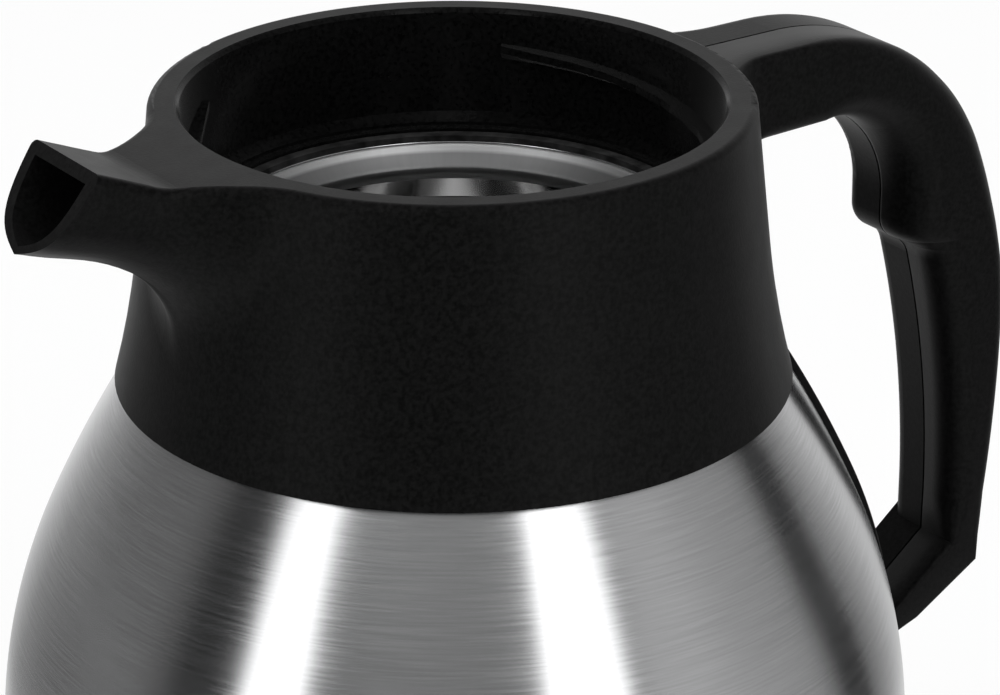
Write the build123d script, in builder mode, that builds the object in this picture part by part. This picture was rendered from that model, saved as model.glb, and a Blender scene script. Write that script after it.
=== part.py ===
from build123d import *
from math import acos, asin, atan, cos, degrees, hypot, radians, sin, sqrt, tan
import os

os.makedirs("parts", exist_ok=True)

# A double-walled steel coffee carafe with an open mouth. Millimetres. The origin is the centre of
# the base plane on the vessel's axis, +Z is up, the spout points along -X and the handle along +X.

# ---- Driving dimensions ---------------------------------------------------------------------

# Vessel: the outer wall is a stack of arcs that run into each other, from the foot to the lip.
rim_height = 195.0  # base plane to the top of the collar's rim
belly_radius = 70.4  # widest radius of the steel
belly_height = 91.4  # height of the widest place
lower_arc_radius = 420.0  # gentle curve from the foot up to the belly
shoulder_share = 0.7935  # lean where the shoulder's arc ends, as a share of the cone's lean
upper_arc_ratio = 2.222  # radius of the flatter arc above it, in radii of the shoulder's arc
cone_length = 30.4  # straight cone under the collar, measured down its slope
lip_depth = 20.4  # rim top down to the steel's top edge
lip_radius = 36.17  # outside of the steel at that edge
lean_tolerance = 1e-9  # how closely the cone's lean is worked out, degrees
steel_foot_height = 8.0  # base plane to the underside of the steel
foot_corner_radius = 4.0  # rounding at the bottom of the steel
foot_opening_in = 18.4  # belly in to the hole in the wall's floor, closed by the bottom disc
shell_wall = 0.8
flask_wall = 0.7
vacuum_gap = 7.0
flask_floor_rise = 5.0  # gap between the two floors
flask_foot_radius = 14.0
flask_opening_in = 30.4  # belly in to the hole in the flask's floor
flask_dish = 1.5

# Mouth funnel, the formed ring that joins the two walls.
funnel_wall = 0.8
funnel_hem_drop = 1.1  # height of the steep outer hem
funnel_hem_run = 0.9
funnel_lip_radius = 31.9  # inner edge of the funnel
funnel_lip_depth = 23.4  # rim top down to that edge
funnel_skirt_drop = 1.9  # turned-down skirt under the edge
funnel_skirt_lean = 0.5
neck_radius = 32.1  # inside radius of the flask's neck
neck_bend_radius = 6.0

# Collar with its spout.
bore_radius = 40.3
bore_depth = 17.0
bore_edge_chamfer = 0.7
rim_radius = 44.9  # outside of the rim at its top
rim_edge_radius = 1.2
flank_lean = 6.0  # draft of the upper flank, degrees
flank_straight = 22.0  # height of the straight flank
foot_edge = 0.75  # thickness of the collar's lower edge, where its flare ends on the cone
collar_height = 43.4
collar_wall = 2.2
collar_gap = 0.4  # collar to the steel cone
seat_radius = 38.6  # inner edge of the collar's own seat ledge
seat_fall = 1.2  # ledge falls this much towards the axis
seat_step = 0.5
seat_inner_radius = 37.3
seat_edge_drop = 0.2  # fall of the narrow inner ledge
coring_top = 24.6  # rim top down to the roof of the hollow under the skirt
coring_foot = 39.0  # where the hollow runs out on the cone

spout_tip_reach = 64.75  # axis to the top corners of the mouth
spout_lip_reach = 73.8  # axis to the lowest point of the mouth
spout_tip_rise = 4.55  # corners above the rim
spout_lip_drop = 8.1  # lowest point below the rim
spout_wall = 2.1
spout_blend = 16.0  # rounding where the spout flares out of the flank
roof_bend_reach = 54.0  # axis to where the roof starts to rise
roof_bend_radius = 8.0
spout_half_width = 9.1  # inside the rounding of the top corners
hull_crest = 7.0  # height above the rim to which the hull is drawn before its roof is cut
hull_overrun = 9.0  # how far cutting outlines run past what they cut
hull_fullness = 1.08  # side curve of the hull: swell, shoulder, bilge and rise of the keel
hull_shoulder = 0.263
hull_bilge = 0.57
hull_rise = 0.128
# Stations of the hull and of the water way in it: share of the way from the rim to the lip,
# what the half width gains on the mouth's, and the keel's depth below the rim.
hull_stations = (
    (-0.50, 13.0, 39.0),
    (-0.20, 10.5, 37.5),
    (0.00, 5.6, 30.5),
    (0.17, 2.5, 20.2),
    (0.32, 0.9, 15.9),
    (0.47, 0.3, 13.2),
    (0.72, 0.0, 10.5),
    (0.90, 0.0, 8.9),
    (1.08, 0.0, 7.7),
)
channel_stations = (
    (-0.42, 7.0, 16.7),
    (0.00, 3.6, 16.2),
    (0.17, 2.3, 15.2),
    (0.32, 0.9, 13.5),
    (0.47, 0.3, 11.5),
    (0.72, 0.0, 9.3),
    (0.90, 0.0, 7.75),
    (1.08, 0.0, 6.6),
)

# Stopper thread: two ramps with a stop hook, half a turn apart.
ramp_height = 2.2  # how far a ramp stands off the bore
ramp_root = 1.2  # how deep its root is sunk in the wall
ramp_width = 2.4
ramp_start_angle = 44.5  # high end of the first ramp
ramp_start_depth = 5.6
ramp_end_angle = -38.0
ramp_end_depth = 10.2
hook_angle = -55.0
ramp_count = 2
ramp_steps = 9

# Neck gasket and split lock ring between the collar and the steel.
gasket_flange = 1.0
gasket_inner_radius = 35.5
gasket_skirt = 3.2
gasket_thickness = 1.5
fit_gap = 0.1
lock_ring_top = 30.5  # rim top down to the ring
lock_ring_foot = 34.5
lock_ring_split = 8.0  # degrees left open
groove_depth = 1.0

# Handle: two half shells on the vessel's symmetry plane. A size named out is measured from the
# belly's radius outwards, so that the fingers keep their room.
handle_half_width = 9.2  # at the arm
handle_foot_half_width = 7.5
handle_root_half_width = 13.2
handle_root_radius = 16.0
handle_wall = 2.0
handle_top_drop = 1.7  # rim top down to the handle's top
handle_root = 40.0  # axis to where the outline starts, inside the collar
handle_root_end = 44.0
bend_out = -9.9  # to the start of the bend
handle_far_out = 39.6  # beyond the outermost point of the grip
flare_reach = 54.0  # axis to where the root starts to flare
arm_depth = 14.2  # thickness of the arm over the fingers
hook_out = -4.9  # to the start of the finger hook's curve
hook_radius = 18.2
hook_drop = 3.8  # straight stretch down to the nose
nose_radius = 4.5
nose_turn = 62.0
nose_underside = 3.7
grip_inner_out = 25.5  # to the grip's inner face where it is upright
grip_inner_rise = 12.3  # elbow up to where the inner face is upright
# Foot, from the elbow round to the grip's inner face: out to the corner, and depth below the elbow.
foot_corners = (
    (19.1, 7.3),
    (14.6, 8.9),
    (-2.4, 19.5),
    (-2.4, 4.7),
    (13.1, 4.7),
    (25.4, -4.9),
)
hook_corner_radius = 5.0
foot_edge_radius = 0.8
bend_radius = 43.0
bend_angle = 43.0
back_radius = 38.0
back_angle = 26.0
grip_upper_radius = 95.0
grip_lower_radius = 235.0
elbow_drop = 102.3  # rim top down to the outer elbow
handle_edge_radius = 3.0
parting_gap = 0.1
seam_width = 0.3
seam_depth = 0.35
handle_gap = 0.25  # handle to the collar and the guard

# Knuckle guard: a curved plate on the back of the vessel.
guard_half_width = 28.7  # across the belly
guard_top_half_width = 20.8
guard_thickness = 1.1
guard_gap = 0.1
guard_below_elbow = 21.7  # elbow down to the guard's lower edge
guard_taper_drop = 103.6  # rim top down to where the guard starts to taper
guard_edge_radius = 0.5
guard_corner_radius = 9.0

# Fasteners.
screw_shank_radius = 1.5
screw_head_radius = 2.7
screw_head_height = 1.8
screw_socket_radius = 1.5
screw_seat = 5.4  # middle plane to the underside of the head
screw_length = 10.5
post_radius = 4.0
# Screws, all driven from the far side: one through the collar's tongue, at its reach from the axis,
# and two at their distance out from the belly. The second figure is the depth below the rim. The
# last one, in the bracket's tab, has its depth below the elbow.
tongue_screw = (55.0, 8.5)
grip_screws_out = ((15.1, 21.5), (29.2, 66.0))
foot_screw_out = (7.6, 8.9)
hole_gap = 0.15
tongue_half_width = 3.0
tongue_height = 8.5
tongue_reach = 62.0
tongue_root = 43.5
tongue_radius = 1.5

# Foot bracket, welded to the steel.
bracket_plate_thickness = 1.2
bracket_half_width = 6.0
bracket_height = 11.0
bracket_out = 12.6  # to the end of its tab
tab_thickness = 2.0
tab_height = 7.4
slot_half_width = 6.4  # opening for it in the guard
slot_height = 11.8
slot_radius = 1.0

# Base.
base_cup_in = 12.9  # belly in to the cup's edge
base_cup_floor = 2.0
base_cup_wall = 2.5
base_recess = 1.0  # floor of the cup above the base plane
pad_in = 2.5  # cup's edge in to the pad
pad_width = 9.0
pad_height = 2.0
disc_dish = 3.0
seal_radius = 5.0
seal_height = 1.6
getter_radius = 7.0
getter_height = 3.0

# ---- Sizes worked out from them ----------------------------------------------------------------

lip_height = rim_height - lip_depth


def shoulder_arc(lean):
    """Radius of the shoulder's arc for a cone that leans by lean degrees."""
    start = radians(shoulder_share * lean)
    end = radians(lean)
    rise = sin(start) + upper_arc_ratio * (sin(end) - sin(start))
    return (lip_height - belly_height - cone_length * cos(end)) / rise


def shoulder_run(lean):
    """How much narrower the wall gets from the belly to the lip, for that cone."""
    start = radians(shoulder_share * lean)
    end = radians(lean)
    run = 1 - cos(start) + upper_arc_ratio * (cos(start) - cos(end))
    return shoulder_arc(lean) * run + cone_length * sin(end)


guard_bottom_drop = elbow_drop + guard_below_elbow
foot_opening_radius = belly_radius - foot_opening_in
flask_opening_radius = belly_radius - flask_opening_in
base_cup_radius = belly_radius - base_cup_in
pad_outer_radius = base_cup_radius - pad_in
pad_inner_radius = pad_outer_radius - pad_width
bend_reach = belly_radius + bend_out
hook_reach = belly_radius + hook_out
grip_inner_reach = belly_radius + grip_inner_out
handle_far_reach = belly_radius + handle_far_out
bracket_reach = belly_radius + bracket_out
screw_places = [tongue_screw]
for out, drop in grip_screws_out:
    screw_places.append((belly_radius + out, drop))
screw_places.append((belly_radius + foot_screw_out[0], elbow_drop + foot_screw_out[1]))

# The cone leans so that the arcs and the cone run from the belly exactly to the lip.
lean_low = 1.0
lean_high = 80.0
while lean_high - lean_low > lean_tolerance:
    cone_angle = (lean_low + lean_high) / 2
    if shoulder_run(cone_angle) < belly_radius - lip_radius:
        lean_low = cone_angle
    else:
        lean_high = cone_angle
shoulder_angle = shoulder_share * cone_angle
shoulder_arc_radius = shoulder_arc(cone_angle)
upper_arc_radius = upper_arc_ratio * shoulder_arc_radius
shoulder_centre = (belly_radius - shoulder_arc_radius, belly_height)
upper_offset = shoulder_arc_radius - upper_arc_radius
upper_centre = (
    shoulder_centre[0] + upper_offset * cos(radians(shoulder_angle)),
    shoulder_centre[1] + upper_offset * sin(radians(shoulder_angle)),
)


def at_depth(depth):
    """Height above the base of a place given by its depth below the rim."""
    return rim_height - depth


def cone_start(inset):
    """Point where the upper arc runs into the straight cone, for a wall set in by inset."""
    radius = upper_arc_radius - inset
    return (
        upper_centre[0] + radius * cos(radians(cone_angle)),
        upper_centre[1] + radius * sin(radians(cone_angle)),
    )


def cone_radius(height, inset=0.0):
    """Radius of the cone, set in by inset, at a height."""
    start = cone_start(inset)
    return start[0] - (height - start[1]) * tan(radians(cone_angle))


def lower_radius(height, inset=0.0):
    """Radius of the wall below the belly, set in by inset, at a height."""
    radius = lower_arc_radius - inset
    return belly_radius - lower_arc_radius + sqrt(radius**2 - (belly_height - height) ** 2)


def wall_radius(height, inset=0.0):
    """Radius of the wall, set in by inset, at any height below the cone."""
    if height < belly_height:
        return lower_radius(height, inset)
    shoulder = shoulder_arc_radius - inset
    if height < belly_height + shoulder * sin(radians(shoulder_angle)):
        return shoulder_centre[0] + sqrt(shoulder**2 - (height - belly_height) ** 2)
    upper = upper_arc_radius - inset
    return upper_centre[0] + sqrt(upper**2 - (height - upper_centre[1]) ** 2)


def wall_arcs(inset, foot, top):
    """Lay the wall's arcs and cone, set in by inset, from height foot to height top."""
    foot_angle = degrees(asin((belly_height - foot) / (lower_arc_radius - inset)))
    lower_centre = (belly_radius - lower_arc_radius, belly_height)
    CenterArc(lower_centre, lower_arc_radius - inset, -foot_angle, foot_angle)
    CenterArc(shoulder_centre, shoulder_arc_radius - inset, 0, shoulder_angle)
    CenterArc(upper_centre, upper_arc_radius - inset, shoulder_angle, cone_angle - shoulder_angle)
    Line(cone_start(inset), (cone_radius(top, inset), top))


def vessel_outline(inset, foot, top):
    """Close the wall's arcs along the axis and the floor."""
    wall_arcs(inset, foot, top)
    Polyline(
        (cone_radius(top, inset), top),
        (0, top),
        (0, foot),
        (lower_radius(foot, inset), foot),
    )

# ---- Vessel --------------------------------------------------------------------------------------


def dished_disc(radius, rise, thickness, height):
    """Half section of a disc that is dished up towards the axis."""
    under = TangentArc((0, height + rise), (radius, height), tangent=(1, 0))
    over = TangentArc((0, height + rise + thickness), (radius, height + thickness), tangent=(1, 0))
    Line(under @ 0, over @ 0)
    Line(under @ 1, over @ 1)


# Outer wall: drawn steel, brushed round and round, with a turned-in floor flange.
with BuildPart() as outer_shell:
    with BuildSketch(Plane.XZ) as shell_section:
        with BuildLine():
            vessel_outline(0, steel_foot_height, lip_height)
        make_face()
        foot_corner = shell_section.vertices().group_by(Axis.Y)[0].sort_by(Axis.X)[-1]
        fillet(foot_corner, foot_corner_radius)
    revolve(axis=Axis.Z)
    with BuildSketch(Plane.XZ) as shell_hollow:
        with BuildLine():
            vessel_outline(shell_wall, steel_foot_height + shell_wall, lip_height)
        make_face()
        hollow_corner = shell_hollow.vertices().group_by(Axis.Y)[0].sort_by(Axis.X)[-1]
        fillet(hollow_corner, foot_corner_radius - shell_wall)
    revolve(axis=Axis.Z, mode=Mode.SUBTRACT)
    with BuildSketch(Plane.XY.offset(steel_foot_height)):
        Circle(foot_opening_radius)
    extrude(amount=shell_wall, mode=Mode.SUBTRACT)
outer_shell.part.label = "outer_shell"

# Disc that closes the outer wall's floor, dished so that it stays clear of the table.
with BuildPart() as shell_floor:
    with BuildSketch(Plane.XZ):
        with BuildLine():
            dished_disc(foot_opening_radius, disc_dish, shell_wall, steel_foot_height)
        make_face()
    revolve(axis=Axis.Z)
shell_floor.part.label = "shell_floor"

# Plug that seals the pumping hole under the floor disc.
seal_top = steel_foot_height + disc_dish - fit_gap
with BuildPart() as vacuum_seal:
    with BuildSketch(Plane.XY.offset(seal_top - seal_height)):
        Circle(seal_radius)
    extrude(amount=seal_height)
    fillet(vacuum_seal.faces().sort_by(Axis.Z)[0].edges(), seal_height / 2)
vacuum_seal.part.label = "vacuum_seal"

# Getter pill in the vacuum, on the floor disc.
getter_base = steel_foot_height + disc_dish + shell_wall
with BuildPart() as getter:
    with BuildSketch(Plane.XY.offset(getter_base)):
        Circle(getter_radius)
    extrude(amount=getter_height)
    chamfer(getter.faces().sort_by(Axis.Z)[-1].edges(), getter_height / 5)
getter.part.label = "getter"

# Inner flask: drawn steel that follows the outer wall across the vacuum.
flask_inset = shell_wall + vacuum_gap
flask_foot = steel_foot_height + shell_wall + flask_floor_rise
neck_top = at_depth(funnel_lip_depth + funnel_skirt_drop)


def flask_outline(inset, foot, radius):
    """Close the flask's wall, set in by inset, with a straight neck of the given radius."""
    start = cone_start(inset)
    bend = start[1] + (start[0] - radius) / tan(radians(cone_angle))
    wall_arcs(inset, foot, bend)
    Polyline(
        (radius, bend),
        (radius, neck_top),
        (0, neck_top),
        (0, foot),
        (lower_radius(foot, inset), foot),
    )
    return bend


def round_flask(section, bend, radius, foot_radius, bend_radius):
    """Round the foot of the flask's wall and the bend under its neck."""
    foot_vertex = section.vertices().group_by(Axis.Y)[0].sort_by(Axis.X)[-1]
    fillet(foot_vertex, foot_radius)
    bend_vertex = section.vertices().sort_by_distance((radius, bend))[0]
    fillet(bend_vertex, bend_radius)


with BuildPart() as inner_flask:
    neck_outside = neck_radius + flask_wall
    with BuildSketch(Plane.XZ) as flask_section:
        with BuildLine():
            flask_bend = flask_outline(flask_inset, flask_foot, neck_outside)
        make_face()
        round_flask(flask_section, flask_bend, neck_outside, flask_foot_radius, neck_bend_radius)
    revolve(axis=Axis.Z)
    with BuildSketch(Plane.XZ) as flask_hollow:
        with BuildLine():
            hollow_bend = flask_outline(flask_inset + flask_wall, flask_foot + flask_wall, neck_radius)
        make_face()
        round_flask(
            flask_hollow,
            hollow_bend,
            neck_radius,
            flask_foot_radius - flask_wall,
            neck_bend_radius + flask_wall,
        )
    revolve(axis=Axis.Z, mode=Mode.SUBTRACT)
    with BuildSketch(Plane.XY.offset(flask_foot)):
        Circle(flask_opening_radius)
    extrude(amount=flask_wall, mode=Mode.SUBTRACT)
inner_flask.part.label = "inner_flask"

# Dished disc that closes the flask.
with BuildPart() as flask_floor:
    with BuildSketch(Plane.XZ):
        with BuildLine():
            dished_disc(flask_opening_radius, flask_dish, flask_wall, flask_foot)
        make_face()
    revolve(axis=Axis.Z)
flask_floor.part.label = "flask_floor"

# Mouth funnel: a formed ring welded to both walls, with a turned-down skirt on the flask's neck.
funnel_outer_radius = cone_radius(lip_height, shell_wall)
funnel_hem_radius = funnel_outer_radius - funnel_hem_run
skirt_radius = funnel_lip_radius + funnel_skirt_lean
with BuildPart() as mouth_funnel:
    with BuildSketch(Plane.XZ) as funnel_section:
        with BuildLine():
            Polyline(
                (funnel_outer_radius, lip_height),
                (funnel_outer_radius - funnel_wall, lip_height),
                (funnel_hem_radius - funnel_wall / 2, lip_height - funnel_hem_drop),
                (funnel_lip_radius, at_depth(funnel_lip_depth)),
                (skirt_radius, neck_top),
                (skirt_radius + funnel_wall, neck_top),
                (funnel_lip_radius + funnel_wall, at_depth(funnel_lip_depth) - funnel_wall),
                (funnel_hem_radius, lip_height - funnel_hem_drop - funnel_wall),
                close=True,
            )
        make_face()
        lip_vertex = funnel_section.vertices().sort_by_distance(
            (funnel_lip_radius, at_depth(funnel_lip_depth))
        )[0]
        fillet(lip_vertex, funnel_wall / 2)
    revolve(axis=Axis.Z)
mouth_funnel.part.label = "mouth_funnel"

# ---- Base ----------------------------------------------------------------------------------------

# Plastic cup snapped under the steel, with a ring groove for the pad.
with BuildPart() as base_cup:
    with BuildSketch(Plane.XY.offset(base_recess)):
        Circle(base_cup_radius)
    extrude(amount=steel_foot_height - base_recess)
    chamfer(base_cup.faces().sort_by(Axis.Z)[0].edges(), base_cup_floor / 2)
    with BuildSketch(Plane.XY.offset(base_recess + base_cup_floor)):
        Circle(base_cup_radius - base_cup_wall)
    extrude(amount=steel_foot_height, mode=Mode.SUBTRACT)
    with BuildSketch(Plane.XY.offset(base_recess)):
        Circle(pad_outer_radius + fit_gap)
        Circle(pad_inner_radius - fit_gap, mode=Mode.SUBTRACT)
    extrude(amount=pad_height - base_recess, mode=Mode.SUBTRACT)
base_cup.part.label = "base_cup"

# Rubber ring that the carafe stands on.
with BuildPart() as base_pad:
    with BuildSketch():
        Circle(pad_outer_radius)
        Circle(pad_inner_radius, mode=Mode.SUBTRACT)
    extrude(amount=pad_height)
    fillet(base_pad.faces().sort_by(Axis.Z)[0].edges(), pad_height / 5)
base_pad.part.label = "base_pad"

# ---- Collar --------------------------------------------------------------------------------------


flank_run = collar_height - flank_straight
flank_end_radius = cone_radius(at_depth(collar_height), -collar_gap) + foot_edge
flank_straight_radius = rim_radius + flank_straight * tan(radians(flank_lean))
flank_chord_lean = atan((flank_end_radius - flank_straight_radius) / flank_run)
flank_arc_radius = hypot(flank_end_radius - flank_straight_radius, flank_run) / (
    2 * sin(flank_chord_lean - radians(flank_lean))
)


def flank_outline():
    """Flank of the collar from the rim down to its lower edge: a straight draft and a flare."""
    straight_end = (flank_straight_radius, at_depth(flank_straight))
    upper = Line((rim_radius, rim_height), straight_end)
    TangentArc(straight_end, (flank_end_radius, at_depth(collar_height)), tangent=upper % 1)


def flank_radius(depth):
    """Radius of the collar's flank at a depth below the rim."""
    if depth <= flank_straight:
        return rim_radius + depth * tan(radians(flank_lean))
    start = radians(flank_lean)
    fall = asin(sin(start) + (depth - flank_straight) / flank_arc_radius)
    return flank_straight_radius + flank_arc_radius * (cos(start) - cos(fall))


def hull_section(reach, half_width, keel):
    """Cross-section of the spout's hull: upright sides that draw in to a keel."""
    crest = rim_height + hull_crest
    depth = crest - keel
    with BuildSketch(Plane.YZ.offset(-reach)) as section:
        with BuildLine():
            near = Bezier(
                (-half_width, crest),
                (-half_width * hull_fullness, keel + depth * hull_shoulder),
                (-half_width * hull_bilge, keel + depth * hull_rise),
                (0, keel),
            )
            mirror(near, about=Plane.YZ)
            Line((-half_width, crest), (half_width, crest))
        make_face()
    return section.sketch


def above_roof(drop, top):
    """Side outline of what stands above the spout's roof, lowered by drop."""
    slope = spout_tip_rise / (spout_tip_reach - roof_bend_reach)
    far = spout_lip_reach + hull_overrun
    with BuildSketch(Plane.XZ) as roof:
        with BuildLine():
            Polyline(
                (rim_radius + hull_overrun, rim_height - drop),
                (-roof_bend_reach, rim_height - drop),
                (-far, rim_height - drop + slope * (far - roof_bend_reach)),
                (-far, top),
                (rim_radius + hull_overrun, top),
                close=True,
            )
        make_face()
        bend = roof.vertices().sort_by_distance((-roof_bend_reach, rim_height - drop))[0]
        fillet(bend, roof_bend_radius)
    return roof.sketch


def spout_sections(half_width, stations):
    """Cross-sections at shares of the way from the rim to the lip."""
    sections = []
    for share, flare, keel_drop in stations:
        reach = rim_radius + share * (spout_lip_reach - rim_radius)
        sections.append(hull_section(reach, half_width + flare, at_depth(keel_drop)))
    return sections


# Water way of the spout, from inside the bore out past the mouth.
roof_clear = rim_height + hull_overrun * 2
with BuildPart() as water_way:
    loft(spout_sections(spout_half_width - spout_wall, channel_stations))
    extrude(above_roof(spout_wall, roof_clear), amount=rim_radius, both=True, mode=Mode.SUBTRACT)

# Outer form of the spout, rooted deep in the collar so that it flares out of the flank.
with BuildPart() as spout_hull:
    loft(spout_sections(spout_half_width, hull_stations))

# Stopper ramp: a wedge that winds down the bore and turns up into a stop hook.
ramp_track = [
    (
        ramp_start_angle + (ramp_end_angle - ramp_start_angle) * step / ramp_steps,
        ramp_start_depth + (ramp_end_depth - ramp_start_depth) * step / ramp_steps,
        ramp_height,
    )
    for step in range(1, ramp_steps + 1)
]
ramp_track.insert(0, (ramp_start_angle, ramp_start_depth, ramp_height / 2))
ramp_track.append((hook_angle, ramp_start_depth, ramp_height / 2))


def ramp_section(angle, depth, stand_off):
    """Trapezoid across the ramp, flat on top and sloped underneath."""
    across = Plane(
        origin=(0, 0, at_depth(depth)),
        x_dir=(cos(radians(angle)), sin(radians(angle)), 0),
        z_dir=(sin(radians(angle)), -cos(radians(angle)), 0),
    )
    with BuildSketch(across) as section:
        with BuildLine():
            Polyline(
                (bore_radius + ramp_root, 0),
                (bore_radius - stand_off, 0),
                (bore_radius - stand_off, -ramp_width / 2),
                (bore_radius, -ramp_width),
                (bore_radius + ramp_root, -ramp_width),
                close=True,
            )
        make_face()
    return section.sketch


with BuildPart() as ramp:
    loft([ramp_section(*place) for place in ramp_track], ruled=True)

# One moulding: collar, pouring spout, ramped bore and the tongue that the handle closes on.
gasket_top = lip_height + gasket_flange
gasket_foot = lip_height - gasket_skirt
coring_roof = at_depth(coring_top)
collar_foot = at_depth(collar_height)
mouth_lean = (spout_lip_reach - spout_tip_reach) / (spout_tip_rise + spout_lip_drop)
mouth_far = spout_lip_reach + 2 * hull_overrun


def gasket_radius(height):
    """Outside of the gasket's skirt on the steel cone."""
    return cone_radius(height, -(gasket_thickness + fit_gap))


def along_flare(edge):
    """Whether an edge follows the collar's flank from end to end, on the spout's side."""
    places = [edge @ share for share in (0, 0.5, 1)]
    return all(
        place.X < -rim_radius / 2
        and abs(hypot(place.X, place.Y) - flank_radius(rim_height - place.Z)) < collar_gap
        for place in places
    )


with BuildPart() as collar:
    with BuildSketch(Plane.XZ):
        with BuildLine():
            flank_outline()
            Polyline(
                (rim_radius, rim_height),
                (0, rim_height),
                (0, collar_foot),
                (flank_end_radius, collar_foot),
            )
        make_face()
    revolve(axis=Axis.Z)
    add(spout_hull.part)
    fillet(collar.edges().filter_by(along_flare), spout_blend)
    extrude(above_roof(0, roof_clear), amount=mouth_far, both=True, mode=Mode.SUBTRACT)
    with BuildSketch(Plane.XZ):
        with BuildLine():
            Polyline(
                (mouth_lean * hull_overrun - spout_tip_reach, rim_height + spout_tip_rise + hull_overrun),
                (-mouth_lean * hull_overrun - spout_lip_reach, at_depth(spout_lip_drop + hull_overrun)),
                (-mouth_far, at_depth(spout_lip_drop + hull_overrun)),
                (-mouth_far, rim_height + spout_tip_rise + hull_overrun),
                close=True,
            )
        make_face()
    extrude(amount=rim_radius, both=True, mode=Mode.SUBTRACT)
    top_edges = collar.edges().filter_by_position(Axis.Z, rim_height - fit_gap, roof_clear)
    side_edges = top_edges.filter_by_position(Axis.X, -spout_tip_reach + rim_edge_radius, rim_radius)
    fillet(side_edges.filter_by(GeomType.LINE, reverse=True), rim_edge_radius)
    with BuildSketch(Plane.XZ):
        with BuildLine():
            Polyline(
                (0, rim_height),
                (bore_radius + bore_edge_chamfer, rim_height),
                (bore_radius, rim_height - bore_edge_chamfer),
                (bore_radius, at_depth(bore_depth)),
                (seat_radius, at_depth(bore_depth + seat_fall)),
                (seat_radius, at_depth(bore_depth + seat_fall + seat_step)),
                (seat_inner_radius, at_depth(bore_depth + seat_fall + seat_step + seat_edge_drop)),
                (seat_inner_radius, gasket_top + fit_gap),
                (gasket_radius(gasket_top) + fit_gap, gasket_top + fit_gap),
                (gasket_radius(gasket_foot) + fit_gap, gasket_foot),
                (cone_radius(gasket_foot, -collar_gap), gasket_foot),
                (cone_radius(coring_roof, -collar_gap), coring_roof),
                (flank_radius(coring_top) - collar_wall, coring_roof),
                (flank_radius(lock_ring_top) - collar_wall, at_depth(lock_ring_top)),
                (flank_radius(lock_ring_top) - collar_wall + groove_depth, at_depth(lock_ring_top)),
                (flank_radius(lock_ring_foot) - collar_wall + groove_depth, at_depth(lock_ring_foot)),
                (flank_radius(lock_ring_foot) - collar_wall, at_depth(lock_ring_foot)),
                (cone_radius(at_depth(coring_foot), -collar_gap), at_depth(coring_foot)),
                (cone_radius(collar_foot, -collar_gap), collar_foot),
                (0, collar_foot),
                close=True,
            )
        make_face()
    revolve(axis=Axis.Z, mode=Mode.SUBTRACT)
    with PolarLocations(0, ramp_count):
        add(ramp.part)
    add(water_way.part, mode=Mode.SUBTRACT)
    with BuildSketch(Plane.XZ):
        with Locations(((tongue_root + tongue_reach) / 2, at_depth(screw_places[0][1]))):
            RectangleRounded(tongue_reach - tongue_root, tongue_height, tongue_radius)
        with Locations((screw_places[0][0], at_depth(screw_places[0][1]))):
            Circle(screw_shank_radius + hole_gap, mode=Mode.SUBTRACT)
    extrude(amount=tongue_half_width, both=True)
collar.part.label = "collar"

# Rubber gasket that grips the steel's top edge and seals it to the collar.
with BuildPart() as neck_gasket:
    with BuildSketch(Plane.XZ):
        with BuildLine():
            Polyline(
                (gasket_inner_radius, lip_height),
                (gasket_inner_radius, gasket_top),
                (gasket_radius(gasket_top), gasket_top),
                (gasket_radius(gasket_foot), gasket_foot),
                (cone_radius(gasket_foot, -fit_gap), gasket_foot),
                (cone_radius(lip_height, -fit_gap), lip_height),
                close=True,
            )
        make_face()
    revolve(axis=Axis.Z)
neck_gasket.part.label = "neck_gasket"

# Split ring that locks the collar's skirt on the cone of the steel.
with BuildPart() as lock_ring:
    ring_top = at_depth(lock_ring_top) - fit_gap
    ring_foot = at_depth(lock_ring_foot) + fit_gap
    groove_wall = collar_wall - groove_depth + fit_gap
    with BuildSketch(Plane.XZ):
        with BuildLine():
            Polyline(
                (cone_radius(ring_top, -fit_gap), ring_top),
                (flank_radius(lock_ring_top) - groove_wall, ring_top),
                (flank_radius(lock_ring_foot) - groove_wall, ring_foot),
                (cone_radius(ring_foot, -fit_gap), ring_foot),
                close=True,
            )
        make_face()
    revolve(axis=Axis.Z, revolution_arc=360 - lock_ring_split)
lock_ring.part.label = "lock_ring"

# ---- Handle --------------------------------------------------------------------------------------

guard_inset = -(guard_gap + guard_thickness)
guard_top = collar_foot - guard_gap
guard_bottom = at_depth(guard_bottom_drop)


def proud_edges(part, inset):
    """Curved edges of a plate on the vessel's back that lie outside the wall offset by inset."""
    found = ShapeList()
    for edge in part.edges().filter_by(GeomType.BSPLINE):
        middle = edge.position_at(0.5)
        if sqrt(middle.X**2 + middle.Y**2) > wall_radius(middle.Z, inset):
            found.append(edge)
    return found


# Bracket welded to the steel: a plate that follows the wall and a tab that enters the handle's foot.
bracket_middle = at_depth(screw_places[-1][1])
with BuildPart() as foot_bracket:
    with BuildSketch(Plane.XZ):
        with BuildLine():
            vessel_outline(-bracket_plate_thickness, steel_foot_height, lip_height)
        make_face()
        with BuildLine():
            vessel_outline(0, steel_foot_height, lip_height)
        make_face(mode=Mode.SUBTRACT)
    revolve(axis=Axis.Z)
    with BuildSketch(Plane.YZ):
        with Locations((0, bracket_middle)):
            Rectangle(2 * bracket_half_width, bracket_height)
    extrude(amount=bracket_reach, mode=Mode.INTERSECT)
    with BuildSketch(Plane.XZ):
        with Locations(((belly_radius + bracket_reach) / 2, bracket_middle)):
            Rectangle(bracket_reach - belly_radius, tab_height)
        with Locations((screw_places[-1][0], bracket_middle)):
            Circle(screw_shank_radius + hole_gap, mode=Mode.SUBTRACT)
    extrude(amount=tab_thickness / 2, both=True)
foot_bracket.part.label = "foot_bracket"

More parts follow.
